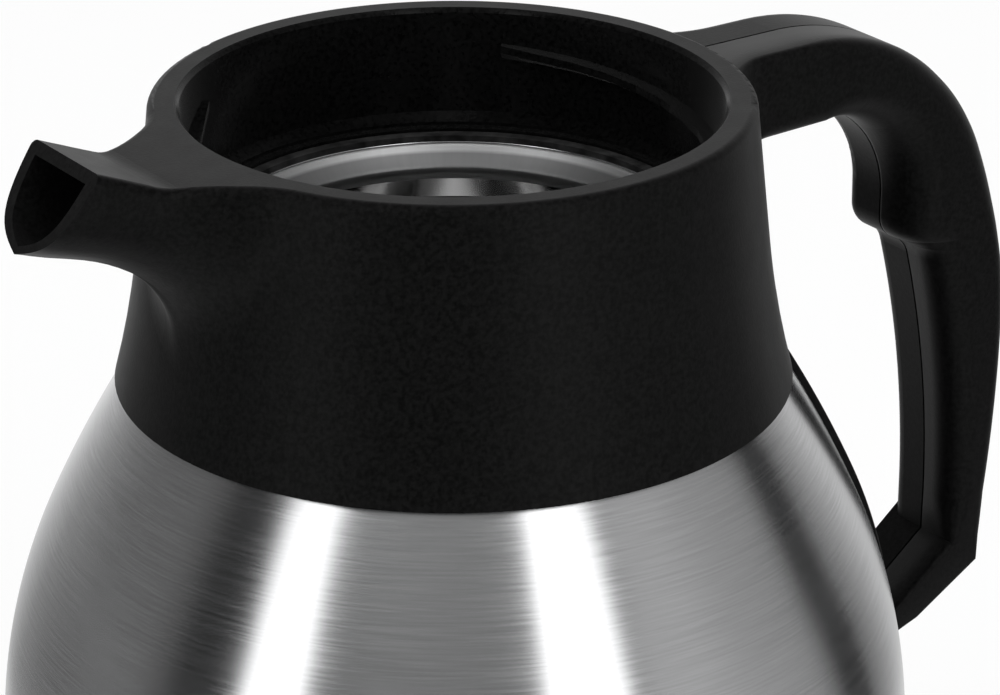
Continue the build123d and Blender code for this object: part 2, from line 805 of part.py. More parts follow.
# Knuckle guard: a curved plate that lies along the back of the steel below the collar.
with BuildPart() as knuckle_guard:
    with BuildSketch(Plane.XZ):
        with BuildLine():
            vessel_outline(guard_inset, steel_foot_height, lip_height)
        make_face()
        with BuildLine():
            vessel_outline(-guard_gap, steel_foot_height, lip_height)
        make_face(mode=Mode.SUBTRACT)
    revolve(axis=Axis.Z)
    with BuildSketch(Plane.YZ) as guard_front:
        with BuildLine():
            Polyline(
                (0, guard_bottom),
                (guard_half_width, guard_bottom),
                (guard_half_width, at_depth(guard_taper_drop)),
            )
            TangentArc(
                (guard_half_width, at_depth(guard_taper_drop)),
                (guard_top_half_width, guard_top),
                tangent=(0, 1),
            )
            Line((guard_top_half_width, guard_top), (0, guard_top))
            mirror(about=Plane.YZ)
        make_face()
        fillet(guard_front.vertices().group_by(Axis.Y)[0], guard_corner_radius)
    extrude(amount=belly_radius + guard_corner_radius, mode=Mode.INTERSECT)
    fillet(proud_edges(knuckle_guard, guard_inset / 2), guard_edge_radius)
    with BuildSketch(Plane.YZ):
        with Locations((0, bracket_middle)):
            RectangleRounded(2 * slot_half_width, slot_height, slot_radius)
    extrude(amount=belly_radius + guard_corner_radius, mode=Mode.SUBTRACT)
knuckle_guard.part.label = "knuckle_guard"


def handle_side(inset):
    """Side outline of the handle, set in by inset."""
    with BuildSketch(Plane.XZ) as side:
        with BuildLine():
            top = Line((handle_root, at_depth(handle_top_drop)), (bend_reach, at_depth(handle_top_drop)))
            bend = JernArc(top @ 1, top % 1, bend_radius, -bend_angle)
            back = JernArc(bend @ 1, bend % 1, back_radius, -back_angle)
            fall = 90 - bend_angle - back_angle
            upper = JernArc(back @ 1, back % 1, grip_upper_radius, -fall)
            sag = degrees(asin(((upper @ 1).Y - at_depth(elbow_drop)) / grip_lower_radius))
            lower = JernArc(upper @ 1, upper % 1, grip_lower_radius, -sag)
            arm = Line(
                (handle_root, at_depth(handle_top_drop + arm_depth)),
                (hook_reach, at_depth(handle_top_drop + arm_depth)),
            )
            hook = JernArc(arm @ 1, arm % 1, hook_radius, -90)
            drop = PolarLine(hook @ 1, hook_drop, direction=hook % 1)
            nose = JernArc(drop @ 1, drop % 1, nose_radius, nose_turn)
            under = PolarLine(nose @ 1, nose_underside, direction=nose % 1)
            inner_foot = (grip_inner_reach, at_depth(elbow_drop - grip_inner_rise))
            inner = TangentArc(inner_foot, under @ 1, tangent=(0, 1))
            Polyline(
                lower @ 1,
                *[(belly_radius + out, at_depth(elbow_drop + drop)) for out, drop in foot_corners],
                inner @ 0,
            )
            Line(arm @ 0, top @ 0)
        make_face()
        fillet(side.vertices().sort_by_distance(under @ 1)[0], hook_corner_radius)
        if inset:
            offset(amount=-inset, kind=Kind.INTERSECTION)
    return side.sketch


def handle_plan(inset):
    """Plan outline of the handle, set in by inset, flared where it meets the collar."""
    half = handle_half_width - inset
    turn = degrees(acos(1 - (handle_root_half_width - handle_half_width) / handle_root_radius))
    with BuildSketch() as plan:
        with BuildLine():
            side = Line((handle_far_reach, half), (flare_reach, half))
            flare = JernArc(side @ 1, side % 1, handle_root_radius + inset, -turn)
            Polyline(flare @ 1, (0, (flare @ 1).Y), (0, 0))
            Line((handle_far_reach, 0), (handle_far_reach, half))
            mirror(about=Plane.XZ)
        make_face()
    return plan.sketch


def handle_front(inset):
    """Front outline of the handle, set in by inset: it narrows from the arm to the foot."""
    arm_foot = at_depth(handle_top_drop + arm_depth) - fit_gap
    with BuildSketch(Plane.YZ) as front:
        with BuildLine():
            Polyline(
                (0, rim_height),
                (handle_root_half_width, rim_height),
                (handle_root_half_width, arm_foot),
                (handle_half_width - inset, arm_foot),
                (handle_foot_half_width - inset, at_depth(guard_bottom_drop)),
                (0, at_depth(guard_bottom_drop)),
            )
            mirror(about=Plane.YZ)
        make_face()
    return front.sketch


# What the handle must stay clear of: the collar's flank and the guard's face.
handle_inset = guard_inset - handle_gap
with BuildPart() as handle_room:
    with BuildSketch(Plane.XZ):
        with BuildLine():
            vessel_outline(handle_inset, steel_foot_height, lip_height)
        make_face()
        with BuildLine():
            Polyline(
                (0, rim_height),
                (rim_radius + handle_gap, rim_height),
                (flank_radius(flank_straight) + handle_gap, at_depth(flank_straight)),
                (0, at_depth(flank_straight)),
                close=True,
            )
        make_face()
    revolve(axis=Axis.Z)


def screw_circles(depth_along, radius):
    """Circles on all screw axes, drawn at a distance beyond the middle plane."""
    with BuildSketch(Plane.XZ.offset(-depth_along)) as circles:
        for reach, drop in screw_places:
            with Locations((reach, at_depth(drop))):
                Circle(radius)
    return circles.sketch


def side_edges(part, low, high):
    """Lengthwise edges of the handle's sides between two heights, clear of the root's end."""
    found = ShapeList()
    for edge in part.edges():
        middle = edge.position_at(0.5)
        heading = edge.tangent_at(0.5)
        aside = abs(middle.Y) > handle_wall and abs(heading.Y) < cos(radians(45))
        clear = middle.X > hook_reach or (middle.X > handle_root_end and abs(heading.Z) < cos(radians(45)))
        if aside and clear and low < middle.Z < high:
            found.append(edge)
    return found


# Outer form of the whole handle, with rounded sides, a crisp foot and a fine seam all round.
crisp_height = at_depth(elbow_drop) + foot_edge_radius
with BuildPart() as handle_form:
    extrude(handle_side(0), amount=handle_root_half_width, both=True)
    extrude(handle_plan(0), amount=rim_height, mode=Mode.INTERSECT)
    extrude(handle_front(0), amount=handle_far_reach, mode=Mode.INTERSECT)
    fillet(side_edges(handle_form, crisp_height, rim_height), handle_edge_radius)
    fillet(side_edges(handle_form, guard_bottom, crisp_height), foot_edge_radius)
    add(handle_room.part, mode=Mode.SUBTRACT)
    seam = handle_side(0) - handle_side(seam_depth)
    extrude(seam, amount=seam_width / 2, both=True, mode=Mode.SUBTRACT)

# Hollow of the handle, left solid round the screws.
with BuildPart() as handle_hollow:
    extrude(handle_side(handle_wall), amount=handle_root_half_width, both=True)
    extrude(handle_plan(handle_wall), amount=rim_height, mode=Mode.INTERSECT)
    extrude(handle_front(handle_wall), amount=handle_far_reach, mode=Mode.INTERSECT)
    extrude(
        screw_circles(0, post_radius), amount=handle_root_half_width, both=True, mode=Mode.SUBTRACT
    )
    with BuildSketch(Plane.XZ):
        with Locations(((handle_root + tongue_reach) / 2, at_depth(screw_places[0][1]))):
            Rectangle(tongue_reach - handle_root + 2 * handle_gap, tongue_height + 2 * handle_gap)
    extrude(amount=tongue_half_width + fit_gap, both=True)
    with BuildSketch(Plane.XZ):
        with Locations(((belly_radius + bracket_reach) / 2, bracket_middle)):
            Rectangle(bracket_reach - belly_radius + 2 * handle_gap, tab_height + 2 * handle_gap)
    extrude(amount=tab_thickness / 2 + fit_gap, both=True)

# Near half: blind holes for the screws.
with BuildPart() as handle_near:
    add(handle_form.part)
    add(handle_hollow.part, mode=Mode.SUBTRACT)
    with BuildSketch(Plane.XZ.offset(parting_gap / 2)):
        Rectangle(2 * handle_far_reach, 2 * rim_height)
    extrude(amount=-handle_far_reach, mode=Mode.SUBTRACT)
    blind_hole = screw_length - screw_seat + 2 * handle_gap
    extrude(screw_circles(0, screw_shank_radius + hole_gap), amount=blind_hole, mode=Mode.SUBTRACT)
handle_near.part.label = "handle_near"

# Far half: through holes with sunk seats for the screw heads.
with BuildPart() as handle_far:
    add(handle_form.part)
    add(handle_hollow.part, mode=Mode.SUBTRACT)
    with BuildSketch(Plane.XZ.offset(-parting_gap / 2)):
        Rectangle(2 * handle_far_reach, 2 * rim_height)
    extrude(amount=handle_far_reach, mode=Mode.SUBTRACT)
    through = -handle_root_half_width
    extrude(screw_circles(0, screw_shank_radius + hole_gap), amount=through, mode=Mode.SUBTRACT)
    extrude(
        screw_circles(screw_seat, screw_head_radius + hole_gap), amount=through, mode=Mode.SUBTRACT
    )
handle_far.part.label = "handle_far"

# Four self-cutting screws that clamp the halves on the collar's tongue and the bracket's tab.
with BuildPart() as handle_screws:
    extrude(screw_circles(screw_seat, screw_head_radius), amount=-screw_head_height)
    extrude(screw_circles(screw_seat, screw_shank_radius), amount=screw_length)
    with BuildSketch(Plane.XZ.offset(-screw_seat - screw_head_height)):
        for reach, drop in screw_places:
            with Locations((reach, at_depth(drop))):
                RegularPolygon(screw_socket_radius, side_count=6)
    extrude(amount=screw_head_height / 2, mode=Mode.SUBTRACT)
handle_screws.part.label = "handle_screws"

# ---- One STEP file per piece ---------------------------------------------------------------------

pieces = [
    outer_shell,
    shell_floor,
    vacuum_seal,
    getter,
    inner_flask,
    flask_floor,
    mouth_funnel,
    base_cup,
    base_pad,
    collar,
    neck_gasket,
    lock_ring,
    foot_bracket,
    knuckle_guard,
    handle_near,
    handle_far,
    handle_screws,
]
for piece in pieces:
    export_step(piece.part, f"parts/{piece.part.label}.step")
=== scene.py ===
import bpy
import numpy as np
from math import radians
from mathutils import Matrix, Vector


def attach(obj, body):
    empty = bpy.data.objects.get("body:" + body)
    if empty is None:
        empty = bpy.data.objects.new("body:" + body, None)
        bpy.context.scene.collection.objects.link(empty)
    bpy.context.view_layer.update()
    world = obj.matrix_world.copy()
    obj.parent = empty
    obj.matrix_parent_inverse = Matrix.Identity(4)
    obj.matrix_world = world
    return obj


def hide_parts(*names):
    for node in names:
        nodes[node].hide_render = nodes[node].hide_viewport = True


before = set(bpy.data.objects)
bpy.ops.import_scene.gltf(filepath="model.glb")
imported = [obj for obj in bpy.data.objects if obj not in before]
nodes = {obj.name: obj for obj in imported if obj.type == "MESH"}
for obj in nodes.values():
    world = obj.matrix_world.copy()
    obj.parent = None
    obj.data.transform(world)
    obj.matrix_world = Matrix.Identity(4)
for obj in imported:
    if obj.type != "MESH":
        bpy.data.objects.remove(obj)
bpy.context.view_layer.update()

# ---- Outer wall ----------------------------------------------------------------------------
# The outer wall is one drawn shell of stainless steel, brushed round and round on a lathe and
# left bare. It is a stack of arcs that run into each other, with a turned-in floor at the foot.

mm = 0.001
belly = (70.4, 91.4)
lower_arc = 420.0
shoulder_arc = 90.0
shoulder_lean = 24.6
upper_arc = 200.0
cone_lean = 31.0
lip_height = 174.6
steel_foot = 8.0
foot_corner = 4.0
foot_hole = 52.0
sheet = 0.8
brushed_grey = (0.60, 0.603, 0.61)
brushed_roughness = 0.24
streaks_along = 3000.0
streaks_around = 26.0
streak_depth = 0.000006
streak_relief = 0.12
streak_pull = 0.9
streak_gloss = (-0.02, 0.03)
streak_range = (0.3, 0.7)
streak_tint = (0.80, 1.20)


def arc_points(centre, radius, start, end, count):
    """Points of a circle about centre, from angle start to angle end in degrees."""
    angle = np.radians(np.linspace(start, end, count))
    return np.stack([centre[0] + radius * np.cos(angle), centre[1] + radius * np.sin(angle)], 1)


def wall_line(inset):
    """Radius and height along the wall, set in by inset: a floor, a corner and four tangent runs.

    Each arc's centre lies on the line through the end of the arc before it, and the last run is a
    straight cone that meets the lip's height."""
    lean = np.radians(shoulder_lean)
    lower_centre = (belly[0] - lower_arc, belly[1])
    shoulder_centre = (belly[0] - shoulder_arc, belly[1])
    step = shoulder_arc - upper_arc
    upper_centre = (
        shoulder_centre[0] + step * np.cos(lean),
        shoulder_centre[1] + step * np.sin(lean),
    )
    corner = foot_corner - inset
    floor = steel_foot + inset
    reach = lower_arc - inset - corner
    fall = np.arcsin((belly[1] - floor - corner) / reach)
    corner_centre = (lower_centre[0] + reach * np.cos(fall), floor + corner)
    cone_foot = arc_points(upper_centre, upper_arc - inset, cone_lean, cone_lean, 1)
    cone_run = (lip_height - cone_foot[0, 1]) * np.tan(np.radians(cone_lean))
    return np.concatenate([
        [(foot_hole, floor)],
        arc_points(corner_centre, corner, -90, -np.degrees(fall), 9),
        arc_points(lower_centre, lower_arc - inset, -np.degrees(fall), 0, 40)[1:],
        arc_points(shoulder_centre, shoulder_arc - inset, 0, shoulder_lean, 24)[1:],
        arc_points(upper_centre, upper_arc - inset, shoulder_lean, cone_lean, 12)[1:],
        [(cone_foot[0, 0] - cone_run, lip_height)],
    ])


def grid_piece(name, points, faces, uv=None, caps=()):
    """A smooth mesh from whole arrays of points, four-sided faces, corner UVs and end caps."""
    mesh = bpy.data.meshes.new(name)
    mesh.from_pydata(points.tolist(), [], faces.tolist() + [cap.tolist() for cap in caps])
    if uv is not None:
        layer = mesh.uv_layers.new(name="surface")
        layer.data.foreach_set("uv", np.asarray(uv, np.float32).ravel())
    mesh.polygons.foreach_set("use_smooth", np.ones(len(mesh.polygons), bool))
    piece = bpy.data.objects.new(name, mesh)
    bpy.context.scene.collection.objects.link(piece)
    return piece


def turned_piece(name, section, steps=256):
    """A closed section of radius and height in millimetres, spun about the vessel's axis.

    The point at turn t and place s is (radius(s) cos t, radius(s) sin t, height(s)). The UV map
    holds the length along the section in metres and the share of the turn."""
    turn = np.linspace(0, 2 * np.pi, steps, endpoint=False)
    radius, height = np.asarray(section).T * mm
    points = np.stack([
        np.outer(np.cos(turn), radius),
        np.outer(np.sin(turn), radius),
        np.tile(height, (steps, 1)),
    ], -1)
    count = len(radius)
    number = np.arange(steps * count).reshape(steps, count)
    after = np.roll(number, -1, 0)
    faces = np.stack([number, after, np.roll(after, -1, 1), np.roll(number, -1, 1)], -1)
    length = np.concatenate([[0], np.cumsum(np.hypot(np.diff(radius), np.diff(height)))])
    end = length[-1] + np.hypot(radius[0] - radius[-1], height[0] - height[-1])
    following = np.append(length[1:], end)
    along = np.stack([length, length, following, following], -1)
    share = np.arange(steps)[:, None] / steps
    around = np.stack([share, share + 1 / steps, share + 1 / steps, share], -1)
    around = np.broadcast_to(around, (steps, count, 4))
    uv = np.stack(np.broadcast_arrays(along[None], around), -1)
    return grid_piece(name, points.reshape(-1, 3), faces.reshape(-1, 4), uv.reshape(-1, 2))


def new_finish(name, colour, roughness, metallic=0.0):
    """A material with one Principled shader; returns it, its node tree and the shader."""
    finish = bpy.data.materials.new(name)
    finish.use_nodes = True
    shader = finish.node_tree.nodes["Principled BSDF"]
    shader.inputs["Base Color"].default_value = (*colour, 1)
    shader.inputs["Roughness"].default_value = roughness
    shader.inputs["Metallic"].default_value = metallic
    return finish, finish.node_tree, shader


def scaled(tree, vector, size):
    """The vector times a size along each of its axes."""
    stretch = tree.nodes.new("ShaderNodeMapping")
    stretch.inputs["Scale"].default_value = size
    tree.links.new(vector, stretch.inputs["Vector"])
    return stretch.outputs["Vector"]


def noise_level(tree, vector, scale, detail):
    """Noise from 0 to 1, at a scale in cycles for each unit of the vector."""
    noise = tree.nodes.new("ShaderNodeTexNoise")
    noise.inputs["Scale"].default_value = scale
    noise.inputs["Detail"].default_value = detail
    tree.links.new(vector, noise.inputs["Vector"])
    return noise.outputs["Fac"]


def ranged(tree, level, low, high, start=0.0, end=1.0):
    """A level carried in a straight line from start..end to low..high, and held past both ends."""
    span = tree.nodes.new("ShaderNodeMapRange")
    span.inputs["From Min"].default_value = start
    span.inputs["From Max"].default_value = end
    span.inputs["To Min"].default_value = low
    span.inputs["To Max"].default_value = high
    tree.links.new(level, span.inputs["Value"])
    return span.outputs["Result"]


def two_tone(tree, level, first, second):
    """A colour that runs from the first at level 0 to the second at level 1."""
    tone = tree.nodes.new("ShaderNodeMix")
    tone.data_type = "RGBA"
    tone.inputs["A"].default_value = (*first, 1)
    tone.inputs["B"].default_value = (*second, 1)
    tree.links.new(level, tone.inputs["Factor"])
    return tone.outputs["Result"]


def raise_grain(tree, shader, level, strength, depth):
    """Relief on the shader's surface that stands as high as the level times the depth."""
    relief = tree.nodes.new("ShaderNodeBump")
    relief.inputs["Strength"].default_value = strength
    relief.inputs["Distance"].default_value = depth
    tree.links.new(level, relief.inputs["Height"])
    tree.links.new(relief.outputs["Normal"], shader.inputs["Normal"])


def surface_place(tree):
    """The piece's own UV map: length along the section and share of the turn."""
    place = tree.nodes.new("ShaderNodeUVMap")
    place.uv_map = "surface"
    return place.outputs["UV"]


def brushed_finish(name, colour, roughness, across, around, depth):
    """Steel brushed round the axis: fine streaks, thin along the section and long round the turn."""
    finish, tree, shader = new_finish(name, colour, roughness, 1.0)
    shader.inputs["Anisotropic"].default_value = streak_pull
    place = scaled(tree, surface_place(tree), (across, around, 1))
    streaks = noise_level(tree, place, 1.0, 4.0)
    least, most = [roughness + change for change in streak_gloss]
    gloss = ranged(tree, streaks, least, most, *streak_range)
    tree.links.new(gloss, shader.inputs["Roughness"])
    dark, light = [[share * c for c in colour] for share in streak_tint]
    tree.links.new(two_tone(tree, streaks, dark, light), shader.inputs["Base Color"])
    raise_grain(tree, shader, streaks, streak_relief, depth)
    lay = tree.nodes.new("ShaderNodeTangent")
    lay.direction_type = "UV_MAP"
    lay.uv_map = "surface"
    tree.links.new(lay.outputs["Tangent"], shader.inputs["Tangent"])
    return finish


def dress(piece, finish):
    """Give a new piece its finish, and let it ride on the one body."""
    piece.data.materials.append(finish)
    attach(piece, "root")


brushed_steel = brushed_finish(
    "brushed_steel", brushed_grey, brushed_roughness, streaks_along, streaks_around, streak_depth
)
outer_wall = turned_piece("outer_wall", np.concatenate([wall_line(0), wall_line(sheet)[::-1]]))
dress(outer_wall, brushed_steel)
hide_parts("outer_shell")

# ---- Floor, seal and getter ----------------------------------------------------------------
# A dished steel disc closes the wall's foot. A soldered plug seals the hole that the air was
# drawn out through, and a getter pill keeps the vacuum.

satin_grey = (0.56, 0.565, 0.575)
satin_roughness = 0.36
satin_spread = 0.08
satin_marks = (900, 900, 900)
sheet_relief = 0.1
sheet_depth = 0.00001


def refinish(node, finish):
    """Put one finish on every material slot of a node that keeps its solid's shape."""
    mesh = nodes[node].data
    mesh.materials.clear()
    mesh.materials.append(finish)


def sheet_finish(name, colour, roughness, spread, size):
    """Drawn steel: noise stretched by size, in cycles a metre along x, y and z, varies the gloss."""
    finish, tree, shader = new_finish(name, colour, roughness, 1.0)
    place = tree.nodes.new("ShaderNodeTexCoord")
    marks = noise_level(tree, scaled(tree, place.outputs["Object"], size), 1.0, 4.0)
    gloss = ranged(tree, marks, roughness - spread, roughness + spread)
    tree.links.new(gloss, shader.inputs["Roughness"])
    raise_grain(tree, shader, marks, sheet_relief, sheet_depth)
    return finish


satin_steel = sheet_finish("satin_steel", satin_grey, satin_roughness, satin_spread, satin_marks)
for node in ("shell_floor", "vacuum_seal", "getter"):
    refinish(node, satin_steel)

# ---- Inner flask ---------------------------------------------------------------------------
# The flask is a second drawn shell that follows the wall across the vacuum. Its inside and its
# straight neck are polished bright, and a dished disc closes its foot.

bright_grey = (0.68, 0.68, 0.68)
bright_roughness = 0.08
bright_spread = 0.04
bright_marks = (60, 60, 5000)
bright_steel = sheet_finish(
    "bright_steel", bright_grey, bright_roughness, bright_spread, bright_marks
)
for node in ("inner_flask", "flask_floor"):
    refinish(node, bright_steel)

# ---- Mouth funnel --------------------------------------------------------------------------
# A formed steel ring is welded to both walls: a steep hem, a smooth cone and a rounded lip with
# a short skirt turned down on the neck. It is left matt, and its hem has a painted highlight: a
# lighter grey in its colour stands in for the light the hem reflects.

funnel_section = [
    (35.24, 174.6), (34.9, 174.6), (34.5, 174.5), (34.38, 174.25), (34.02, 173.75), (33.85, 173.42),
    (32.3, 171.97), (32.03, 171.7), (31.93, 171.4), (32.4, 169.7), (33.2, 169.7), (32.72, 171.2),
    (34.34, 172.7),
]
cone_grey = (0.27, 0.271, 0.273)
hem_highlight_grey = (0.62, 0.622, 0.625)
hem_start = 0.1733
hem_end = 0.1738
matt_gloss = (0.42, 0.60)
matt_marks = (160.0, 420.0, 1)

matt_steel, tree, shader = new_finish("matt_steel", cone_grey, matt_gloss[0], 1.0)
place = tree.nodes.new("ShaderNodeTexCoord")
apart = tree.nodes.new("ShaderNodeSeparateXYZ")
tree.links.new(place.outputs["Object"], apart.inputs["Vector"])
# Painted highlight: above hem_start the colour turns to a lighter grey that stands in for the hem's
# reflection.
hem_highlight_share = ranged(tree, apart.outputs["Z"], 0.0, 1.0, hem_start, hem_end)
tree.links.new(two_tone(tree, hem_highlight_share, cone_grey, hem_highlight_grey), shader.inputs["Base Color"])
marks = noise_level(tree, scaled(tree, surface_place(tree), matt_marks), 1.0, 3.0)
tree.links.new(ranged(tree, marks, *matt_gloss), shader.inputs["Roughness"])
mouth_ring = turned_piece("mouth_ring", funnel_section)
dress(mouth_ring, matt_steel)
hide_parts("mouth_funnel")

# ---- Base cup ------------------------------------------------------------------------------
# A shallow cup moulded in black plastic snaps under the steel and covers its foot. The mould is
# spark-eroded, which leaves an even grain, and the fine pale specks on it are painted glints.

plastic_level = 0.0018
plastic_roughness = 0.44
plastic_grain = 2400.0
plastic_depth = 0.00004
grain_relief = 0.45
moulded_shine = 0.06
moulded_sheen = 0.06
moulded_sheen_roughness = 0.4
speck_share = 0.6
speck_range = (0.35, 0.65)
glint_speck_tone = (0.5, 2.2)


def moulded_finish(name, level, roughness, grain, depth):
    """A grained black moulding: noise at grain cycles a metre is the relief, and coarser noise
    carries the grey from half the level to about twice the level: pale specks that are painted
    glints."""
    finish, tree, shader = new_finish(name, (level, level, level), roughness)
    shader.inputs["Specular IOR Level"].default_value = moulded_shine
    shader.inputs["Sheen Weight"].default_value = moulded_sheen
    shader.inputs["Sheen Roughness"].default_value = moulded_sheen_roughness
    place = tree.nodes.new("ShaderNodeTexCoord").outputs["Object"]
    raise_grain(tree, shader, noise_level(tree, place, grain, 2.0), grain_relief, depth)
    # Painted glints: pale specks in the base colour stand in for glints off the eroded grain.
    painted_glints = noise_level(tree, place, grain * speck_share, 3.0)
    dark, light = [share * level for share in glint_speck_tone]
    tree.links.new(ranged(tree, painted_glints, dark, light, *speck_range), shader.inputs["Base Color"])
    return finish, tree, shader


black_plastic, *_ = moulded_finish(
    "black_plastic", plastic_level, plastic_roughness, plastic_grain, plastic_depth
)
refinish("base_cup", black_plastic)

# ---- Base pad ------------------------------------------------------------------------------
# A ring of black rubber sits in the cup's groove, and the carafe stands on it. Rubber is paler
# and duller than the plastic, with a coarser grain.

rubber_level = 0.012
rubber_roughness = 0.75
rubber_grain = 700.0
rubber_depth = 0.00006
black_rubber, *_ = moulded_finish(
    "black_rubber", rubber_level, rubber_roughness, rubber_grain, rubber_depth
)
refinish("base_pad", black_rubber)

# ---- Collar --------------------------------------------------------------------------------
# The collar is one black moulding: a spark-eroded outside, a polished bore with two ramps for
# the stopper, and a pouring spout that flares out of its flank.

bore_radius = 0.0403
polish_edge = (0.0002, 0.0008)
polished_roughness = 0.10
eroded_roughness = 0.46
wear_spread = 0.05
wear_marks = 240.0


def maths(tree, operation, first, second):
    """One maths step on two levels, the second of which may be a plain number."""
    step = tree.nodes.new("ShaderNodeMath")
    step.operation = operation
    tree.links.new(first, step.inputs[0])
    if isinstance(second, float):
        step.inputs[1].default_value = second
    else:
        tree.links.new(second, step.inputs[1])
    return step.outputs["Value"]


collar_plastic, tree, shader = moulded_finish(
    "collar_plastic", plastic_level, plastic_roughness, plastic_grain, plastic_depth
)
place = tree.nodes.new("ShaderNodeTexCoord")
apart = tree.nodes.new("ShaderNodeSeparateXYZ")
tree.links.new(place.outputs["Object"], apart.inputs["Vector"])
flat = tree.nodes.new("ShaderNodeCombineXYZ")
tree.links.new(apart.outputs["X"], flat.inputs["X"])
tree.links.new(apart.outputs["Y"], flat.inputs["Y"])
reach = tree.nodes.new("ShaderNodeVectorMath")
reach.operation = "LENGTH"
tree.links.new(flat.outputs["Vector"], reach.inputs[0])
polish_start, polish_end = [bore_radius + width for width in polish_edge]
outside = ranged(
    tree, reach.outputs["Value"], polished_roughness, eroded_roughness, polish_start, polish_end
)
clouds = noise_level(tree, place.outputs["Object"], wear_marks, 3.0)
wear = ranged(tree, clouds, -wear_spread, wear_spread)
tree.links.new(maths(tree, "ADD", outside, wear), shader.inputs["Roughness"])
refinish("collar", collar_plastic)

# ---- Neck gasket ---------------------------------------------------------------------------
# A ring of black rubber grips the steel's top edge and seals it to the collar. It is hidden
# between the two.

refinish("neck_gasket", black_rubber)

# ---- Lock ring -----------------------------------------------------------------------------
# A split ring of black plastic locks the collar's skirt on the cone of the steel. It is hidden
# inside the skirt.

refinish("lock_ring", black_plastic)

# ---- Foot bracket --------------------------------------------------------------------------
# A steel plate that follows the wall and is welded to it, with a tab that enters the handle's
# foot, where one of the screws clamps it.

refinish("foot_bracket", satin_steel)

# ---- Knuckle guard -------------------------------------------------------------------------
# A curved plate of black plastic lies along the back of the steel, from under the collar down
# past the handle's foot.

refinish("knuckle_guard", black_plastic)

# ---- Near half of the handle ---------------------------------------------------------------
# The handle is two halves moulded in black plastic that meet on the vessel's symmetry plane. The
# near half is crisp at its root and foot and well rounded at the bend and the finger hook. Its
# hollow is left out, because the two halves close over it.

handle_top = 193.3
arm_underside = 179.1
arm_root = 44.0
foot_front = 71.8
near_outer = np.concatenate([
    [(arm_root, handle_top)],
    arc_points((60.5, 150.3), 43.0, 90, 47, 60),
    arc_points((63.908, 153.959), 38.0, 47, 21, 40)[1:],
    arc_points((10.695, 133.536), 95.0, 21, 0, 50)[1:],
    arc_points((-129.305, 133.536), 235.0, 0, -10.005, 80)[1:],
    [(89.5, 85.4), (85.0, 83.8), (foot_front, 75.57)],
])
near_inner = np.concatenate([
    [(arm_root, arm_underside)],
    arc_points((65.5, 160.9), 18.2, 90, 0, 50),
    arc_points((88.2, 157.1), 4.5, 180, 242, 30),
    arc_points((85.14, 147.97), 5.0, 62, 16, 20),
    arc_points((-71.9, 105.0), 167.8, 15.2, 0, 60),
    [(95.8, 97.6), (83.5, 88.0), (foot_front, 88.0)],
])
# Stations down the handle: a point of each outline that face each other, the half width, and the
# rounding of the outer and of the inner corner.
near_stations = np.array([
    (44.0, 193.3, 44.0, 179.1, 9.20, 1.0, 2.0),
    (60.5, 193.3, 62.5, 179.1, 9.20, 1.2, 3.5),
    (76.6, 190.1, 71.5, 178.1, 9.20, 3.0, 6.0),
    (89.8, 181.8, 78.4, 173.8, 9.15, 4.8, 8.0),
    (96.1, 174.6, 81.7, 169.3, 9.10, 5.0, 8.4),
    (99.4, 167.6, 83.6, 163.0, 9.00, 5.0, 8.4),
    (103.0, 158.0, 83.8, 157.0, 8.85, 4.5, 8.3),
    (104.0, 153.9, 86.1, 153.1, 8.75, 4.0, 8.1),
    (104.5, 151.2, 88.2, 151.9, 8.70, 3.8, 6.0),
    (104.8, 147.5, 89.9, 149.4, 8.65, 3.5, 4.8),
    (103.9, 105.0, 95.9, 105.0, 7.90, 3.0, 4.2),
    (102.9, 97.2, 95.9, 100.0, 7.80, 2.0, 2.0),
    (102.1, 92.7, 95.8, 97.6, 7.70, 0.9, 0.9),
    (89.5, 85.4, 84.4, 88.7, 7.60, 0.8, 0.8),
    (85.0, 83.8, 83.5, 88.0, 7.58, 0.8, 0.8),
    (71.8, 75.6, 71.8, 88.0, 7.50, 0.8, 0.8),
])
rows_between = 40
corner_points = 9
groove_depth = 0.35
groove_floor = 0.05
groove_wall = 0.12
groove_lip = 0.22
handle_flare_start = 54.0
handle_flare = 16.0
rim_height = 195.0
collar_clearance = 45.15
collar_draft = np.tan(np.radians(6.0))


def along_outline(outline, marks, share):
    """Points of an outline at shares between marked points: the length along the outline is
    linear in the share from one mark to the next."""
    length = np.concatenate([[0], np.cumsum(np.hypot(*np.diff(outline, axis=0).T))])
    nearest = np.argmin(np.hypot(*(outline[None] - marks[:, None]).transpose(2, 0, 1)), 1)
    place = np.interp(share, np.arange(len(marks)), length[nearest])
    return np.stack([np.interp(place, length, column) for column in outline.T], 1)


def half_section(thickness, half, outer_round, inner_round):
    """Half of a rounded rectangle with half a seam groove at both ends, from outside to inside.

    Returns the place across the handle and the distance from the middle plane, per station."""
    turn = np.radians(np.linspace(0, 90, corner_points))[None]
    one = np.ones_like(thickness)[:, None]
    across = thickness[:, None]
    wide = half[:, None]
    outer = outer_round[:, None]
    inner = inner_round[:, None]
    place = np.concatenate([
        across - groove_depth * one, across - groove_depth * one, across,
        across - outer + outer * np.cos(turn), inner - inner * np.sin(turn), 0 * one,
        groove_depth * one, groove_depth * one,
    ], 1)
    aside = np.concatenate([
        groove_floor * one, groove_wall * one, groove_lip * one,
        wide - outer + outer * np.sin(turn), wide - inner + inner * np.cos(turn),
        groove_lip * one, groove_wall * one, groove_floor * one,
    ], 1)
    return place, aside


